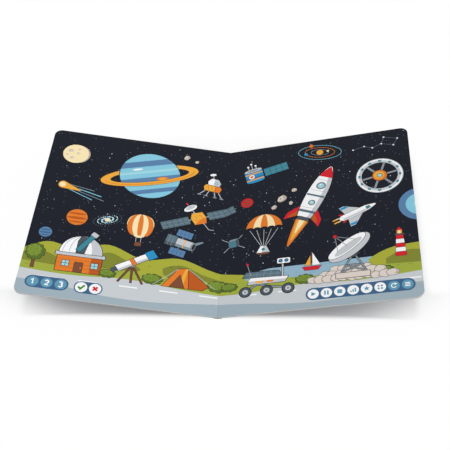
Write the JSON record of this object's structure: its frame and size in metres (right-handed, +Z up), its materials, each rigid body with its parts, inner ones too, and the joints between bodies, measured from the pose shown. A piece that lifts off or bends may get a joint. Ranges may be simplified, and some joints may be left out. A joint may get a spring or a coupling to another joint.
{
  "type": "interactive book",
  "caption": "Thin children's picture book for a reader pen, open in a shallow V at a printed spread, with card covers hinged to a narrow spine.",
  "frame": {"origin": "on the table, under the middle of the fold, in the flat back of the spine", "axes": "+X towards the right-hand page's fore-edge, +Y towards the head of the book, +Z up"},
  "size_m": [0.472, 0.277, 0.0482],
  "materials": {
    "page_paper": "satin",
    "cover_card": "satin",
    "spine_card": "satin"
  },
  "bodies": {
    "spine": {"spine": "spine_card"},
    "front_half": {"front_cover": "cover_card", "left_pages": "page_paper"},
    "back_half": {"back_cover": "cover_card", "right_pages": "page_paper"}
  },
  "joints": [
    {"name": "front_cover_hinge", "type": "hinge", "parent": "spine", "child": "front_half", "pos_m": [0, 0, 0.00255], "axis": [0, 1, 0], "range_deg": [-11, 79]},
    {"name": "back_cover_hinge", "type": "hinge", "parent": "spine", "child": "back_half", "pos_m": [0, 0, 0.00255], "axis": [0, -1, 0], "range_deg": [-11, 79]}
  ]
}
